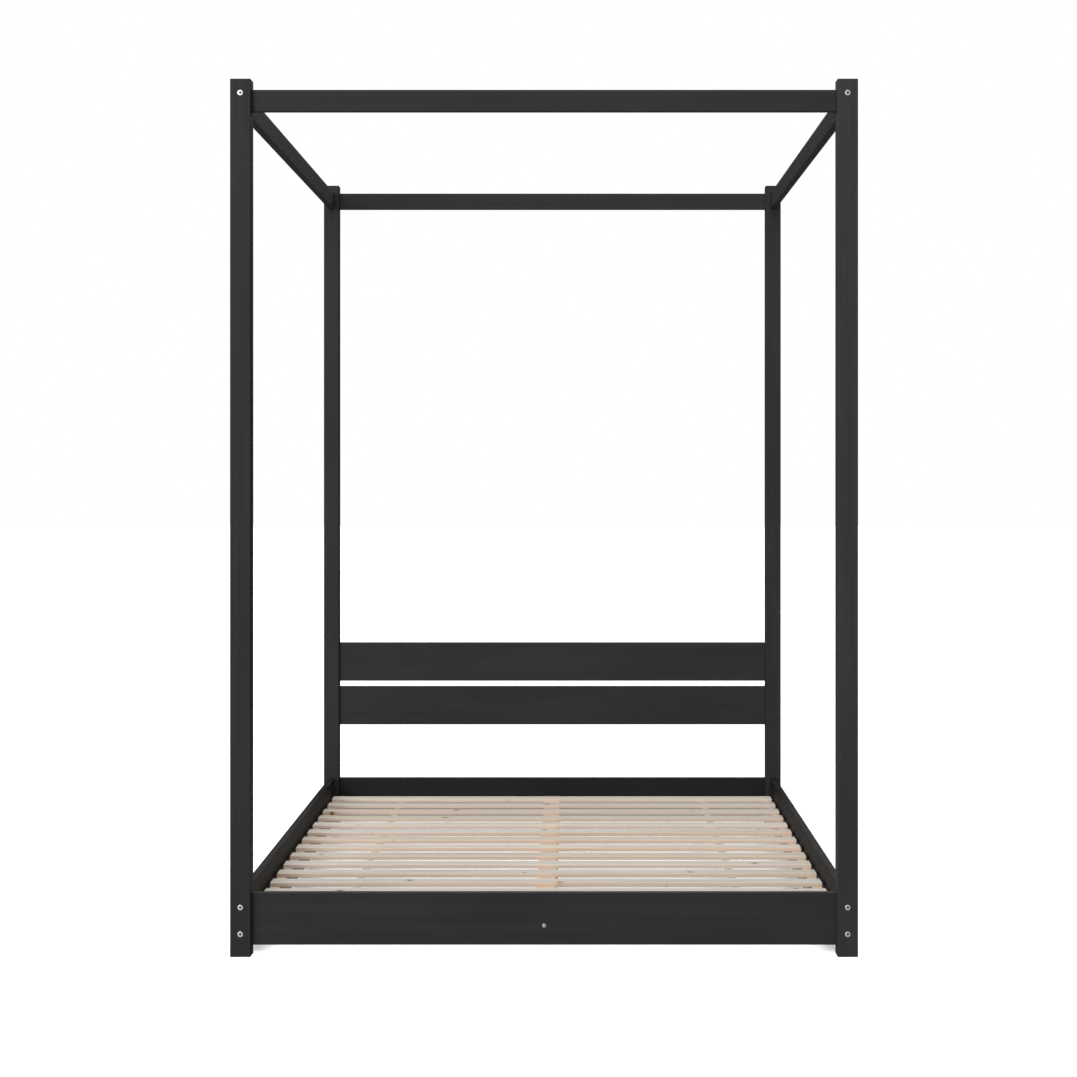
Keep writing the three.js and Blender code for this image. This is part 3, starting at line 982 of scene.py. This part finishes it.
def painted_shade_edges(node):
    """Where the painted shade beside a rail stops on the bearer: axis number, place, and way to the rail."""
    low, high = box_of(node)
    if node == "centre_beam":
        return [(1, low.y + PAINTED_SHADE_LENGTH, -1), (1, high.y - PAINTED_SHADE_LENGTH, 1)]
    if high.x < 0:
        return [(0, low.x + PAINTED_SHADE_WIDTH, -1)]
    return [(0, high.x - PAINTED_SHADE_WIDTH, 1)]


def split_beside_rail(mesh, node):
    """Cuts a bearer's faces along the line where the painted shade stops, so that the line is sharp."""
    bm = bmesh.new()
    bm.from_mesh(mesh)
    for axis, edge, outward in painted_shade_edges(node):
        for offset in (-0.5 * MM, 0.5 * MM):
            place = Vector((0, 0, 0))
            place[axis] = edge + offset
            normal = Vector((0, 0, 0))
            normal[axis] = 1
            geometry = bm.verts[:] + bm.edges[:] + bm.faces[:]
            bmesh.ops.bisect_plane(bm, geom=geometry, plane_co=place, plane_no=normal)
    bm.to_mesh(mesh)
    bm.free()
    return mesh


def write_painted_shade(mesh, node):
    # Marks the points on the bearer that get the painted shade beside the rail.
    edges = painted_shade_edges(node)
    paint = []
    for vertex in mesh.vertices:
        beyond = max((vertex.co[axis] - edge) * outward for axis, edge, outward in edges)
        paint.append(1.0 if beyond > 0 else 0.0)
    store(mesh, "painted_rail_shade", paint)


def add_ledgers_and_beam(pine, numbers):
    for node in ledgers + ["centre_beam", "centre_leg"]:
        mesh = stick(node, "rail")
        passes = []
        if node == "centre_beam":
            low, high = box_of(node)
            bores, nut_holes = [], []
            for bolt in beam_bolts:
                face, inward = bolt_places[bolt]
                end = Vector((face.x, low.y if inward.y > 0 else high.y, face.z))
                bore = round_hole(SHANK_RADIUS["beam"] + HOLE_CLEARANCE, END_BORE_DEPTH)
                bores.append((bore, Matrix.Translation(end) @ pointing(inward)))
                under = end + inward * BEAM_NUT_FROM_END
                depth = under.z - low.z + NUT_HOLE_RADIUS
                under.z = low.z
                nut_holes.append((round_hole(NUT_HOLE_RADIUS, depth), Matrix.Translation(under)))
            passes = [bores, nut_holes]
        if node != "centre_leg":
            mesh = split_beside_rail(mesh, node)
        mesh = carved(mesh, passes)
        smooth(mesh)
        write_grain(mesh, node, "rail", numbers)
        # Painted shade on the bearer where it meets the rails.
        if node != "centre_leg":
            write_painted_shade(mesh, node)
        brightness = numbers.uniform(0.92, 1.0)
        warmth = numbers.uniform(0.1, 0.4)
        blush = numbers.uniform(0.2, 0.5)
        write_tone_and_painted_light(mesh, brightness, warmth, blush)
        piece = add_piece(f"{node}_timber", mesh, pine, "natural_pine", node)
        keep_flats_flat(piece)


def put_copy(name, mesh, place, direction, slot, *replaced):
    """A fastening that shares its mesh with the others like it, with its head at place."""
    piece = link(bpy.data.objects.new(name, mesh))
    piece.matrix_world = Matrix.Translation(place) @ pointing(direction)
    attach(piece, BODY)
    if replaced:
        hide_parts(*replaced)
    return piece


def add_bolts(steel):
    meshes = {}
    for kind in ("frame", "beam"):
        meshes[kind] = bolt_mesh(kind)
        meshes[kind].materials.append(steel)
    for node, (face, inward) in bolt_places.items():
        kind = "beam" if node in beam_bolts else "frame"
        put_copy(f"{node}_steel", meshes[kind], face + inward * HEAD_SUNK, inward, "zinc_steel", node)
    for plank, side, face, inward in plank_bolt_places():
        name = f"{plank}_bolt_{side}"
        put_copy(name, meshes["frame"], face + inward * HEAD_SUNK, inward, "zinc_steel")


def add_nuts(steel):
    mesh = nut_mesh()
    mesh.materials.append(steel)
    for node in cross_boards + side_boards:
        opens = open_side(node)
        for number, place in enumerate(nut_places(node, opens), 1):
            put_copy(f"{node}_dowel_nut_{number}", mesh, place, -opens, "zinc_steel")
    for bolt in beam_bolts:
        face, inward = bolt_places[bolt]
        low, high = box_of("centre_beam")
        end_y = low.y if inward.y > 0 else high.y
        place = Vector((face.x, end_y + inward.y * BEAM_NUT_FROM_END, face.z - NUT_LENGTH / 2))
        put_copy(f"{bolt}_dowel_nut", mesh, place, (0, 0, 1), "zinc_steel")


def add_screws(steel):
    ledger_screw = screw_mesh("ledger")
    ledger_screw.materials.append(steel)
    slat_screw = screw_mesh("slat")
    slat_screw.materials.append(steel)
    for ledger in ledgers:
        low, high = box_of(ledger)
        middle = (low + high) / 2
        inward = math.copysign(1, -middle.x)
        face_x = low.x if inward < 0 else high.x
        for i in range(LEDGER_SCREWS):
            y = low.y + (high.y - low.y) * (i + 0.5) / LEDGER_SCREWS
            place = Vector((face_x + inward * SCREW_PROUD, y, middle.z))
            put_copy(f"{ledger}_screw_{i + 1}", ledger_screw, place, (-inward, 0, 0), "zinc_steel")
    for slat in (slats[0], slats[-1]):
        low, high = box_of(slat)
        for side, name in ((-1, "left"), (1, "right")):
            x = side * (high.x - SLAT_SCREW_FROM_END)
            place = Vector((x, (low.y + high.y) / 2, high.z + SCREW_PROUD))
            put_copy(f"{slat}_screw_{name}", slat_screw, place, (0, 0, -1), "zinc_steel")


def tape_sag(y, slat_spans):
    """How far the tape hangs below the slats at y: nothing under a slat, and a shallow curve between two."""
    for (_, this_end), (next_start, _) in zip(slat_spans, slat_spans[1:]):
        if this_end < y < next_start:
            share = (y - this_end) / (next_start - this_end)
            return TAPE_SAG * math.sin(math.pi * share) ** 2
    return 0.0


def add_tapes(cloth, steel):
    spans = sorted((box_of(slat)[0].y, box_of(slat)[1].y) for slat in slats)
    for tape in tapes:
        low, high = box_of(tape)
        middle = (low + high) / 2
        half_width = (high.x - low.x) / 2
        half_thick = (high.z - low.z) / 2
        steps = int((high.y - low.y) / TAPE_STEP)
        section = []
        for i in range(TAPE_SECTION_POINTS):
            angle = math.tau * (i + 0.5) / TAPE_SECTION_POINTS
            x = math.copysign(abs(math.cos(angle)) ** 0.35, math.cos(angle)) * half_width
            z = math.copysign(abs(math.sin(angle)) ** 0.5, math.sin(angle)) * half_thick
            section.append((x, z))
        bm = bmesh.new()
        rings = []
        for step in range(steps + 1):
            y = low.y + (high.y - low.y) * step / steps
            z = middle.z - tape_sag(y, spans)
            rings.append([bm.verts.new((middle.x + a, y, z + b)) for a, b in section])
        for first, second in zip(rings, rings[1:]):
            for i in range(TAPE_SECTION_POINTS):
                j = (i + 1) % TAPE_SECTION_POINTS
                bm.faces.new((first[i], first[j], second[j], second[i]))
        bm.faces.new(rings[0])
        bm.faces.new(reversed(rings[-1]))
        mesh = to_mesh(tape, bm)
        smooth(mesh, 50)
        write_place(mesh)
        piece = add_piece(f"{tape}_webbing", mesh, cloth, "woven_tape", tape)
        staples = []
        for start, end in spans:
            place = Vector((middle.x, (start + end) / 2, low.z - STAPLE_WIRE))
            staples.append((staple_solid(), Matrix.Translation(place)))
        staple_mesh = to_mesh(f"{tape}_staples", merged(staples))
        smooth(staple_mesh, 40)
        write_place(staple_mesh)
        staple_piece = add_piece(f"{tape}_staples", staple_mesh, steel, "zinc_steel")


# ---------------------------------------------------------------- the stage

def add_floor():
    bm = bmesh.new()
    bmesh.ops.create_grid(bm, x_segments=1, y_segments=1, size=FLOOR_SIZE)
    mesh = to_mesh("floor", bm)
    m = Material("pale_floor")
    pale = rgb(FLOOR_GREY, FLOOR_GREY, FLOOR_GREY)
    mesh.materials.append(m.surface({"Base Color": pale, "Roughness": 0.9, "Specular IOR Level": 0.0}))
    floor = link(bpy.data.objects.new("floor", mesh))
    floor.location.z = cad_box[0].z
    # So bright a floor would light the undersides too much, so the world gives the bounce instead.
    floor.visible_diffuse = False
    floor.visible_glossy = False
    return floor


def linked_group(name, things, state):
    """A collection for light linking. Its things are the only ones used (INCLUDE) or left out (EXCLUDE)."""
    group = bpy.data.collections.new(name)
    for thing in things:
        group.objects.link(thing)
    for member in group.collection_objects:
        member.light_linking.link_state = state
    return group


def add_world():
    """A plain studio: white to the camera, soft light from above and the front left, bounce from below."""
    world = bpy.data.worlds.new("studio")
    world.use_nodes = True
    bpy.context.scene.world = world
    m = Material("studio", world.node_tree)
    direction = m.node("ShaderNodeTexCoord").outputs["Generated"]

    def glow(towards, low, high):
        dot = m.node("ShaderNodeVectorMath", operation="DOT_PRODUCT")
        m.put(dot.inputs[0], direction)
        dot.inputs[1].default_value = Vector(towards).normalized()
        return m.remap(dot.outputs["Value"], low, high)

    above = m.math("MULTIPLY", glow((0, 0, 1), 0.1, 1.0), WORLD_ABOVE)
    below = m.math("MULTIPLY", glow((0, 0, -1), 0.0, 1.0), WORLD_BELOW)
    front = m.math("MULTIPLY", glow((-0.45, -0.85, 0.2), 0.35, 1.0), WORLD_FRONT)
    strength = m.math("ADD", m.math("ADD", below, WORLD_BASE), m.math("ADD", above, front))
    light = m.node("ShaderNodeBackground", {"Color": rgb(1, 1, 1), "Strength": strength})
    white = m.node("ShaderNodeBackground", {"Color": rgb(1, 1, 1), "Strength": 1.0})
    seen = m.node("ShaderNodeLightPath").outputs["Is Camera Ray"]
    both = m.node("ShaderNodeMixShader", {"Fac": seen})
    m.tree.links.new(light.outputs[0], both.inputs[1])
    m.tree.links.new(white.outputs[0], both.inputs[2])
    output = m.node("ShaderNodeOutputWorld")
    m.tree.links.new(both.outputs[0], output.inputs["Surface"])


def add_stage():
    """Two softboxes in front, a fill behind for the painted frame, and a wash that keeps the floor white."""
    floor = add_floor()
    add_world()
    for name in ("key", "top"):
        light = add_softbox(name)
        light.light_linking.receiver_collection = linked_group(f"{name}_leaves", [floor], "EXCLUDE")
    painted = [bpy.data.objects[f"{node}_timber"] for node in posts + cross_boards + side_boards]
    fill = add_softbox("fill")
    fill.light_linking.receiver_collection = linked_group("fill_reaches", painted, "INCLUDE")

    data = bpy.data.lights.new("floor_wash", "SUN")
    data.energy = WASH_POWER
    data.angle = math.radians(WASH_ANGLE)
    wash = link(bpy.data.objects.new("floor_wash", data))
    wash.rotation_euler = Vector(WASH_DIRECTION).to_track_quat("-Z", "Y").to_euler()
    wash.light_linking.receiver_collection = linked_group("wash_reaches", [floor], "INCLUDE")
    clear = painted + [bpy.data.objects[f"{node}_timber"] for node in ("centre_beam", "centre_leg")]
    wash.light_linking.blocker_collection = linked_group("wash_passes", clear, "EXCLUDE")
    bpy.context.scene.view_settings.view_transform = "Standard"


# ---------------------------------------------------------------- everything

def build():
    numbers = random.Random(SEED)
    paint = black_paint()
    pine = natural_pine()
    steel = zinc_steel()
    cloth = woven_tape()
    add_camera()
    add_posts(paint, numbers)
    add_boards(paint, numbers)
    add_slats(pine, numbers)
    add_ledgers_and_beam(pine, numbers)
    add_bolts(steel)
    add_nuts(steel)
    add_screws(steel)
    add_tapes(cloth, steel)
    add_stage()


build()
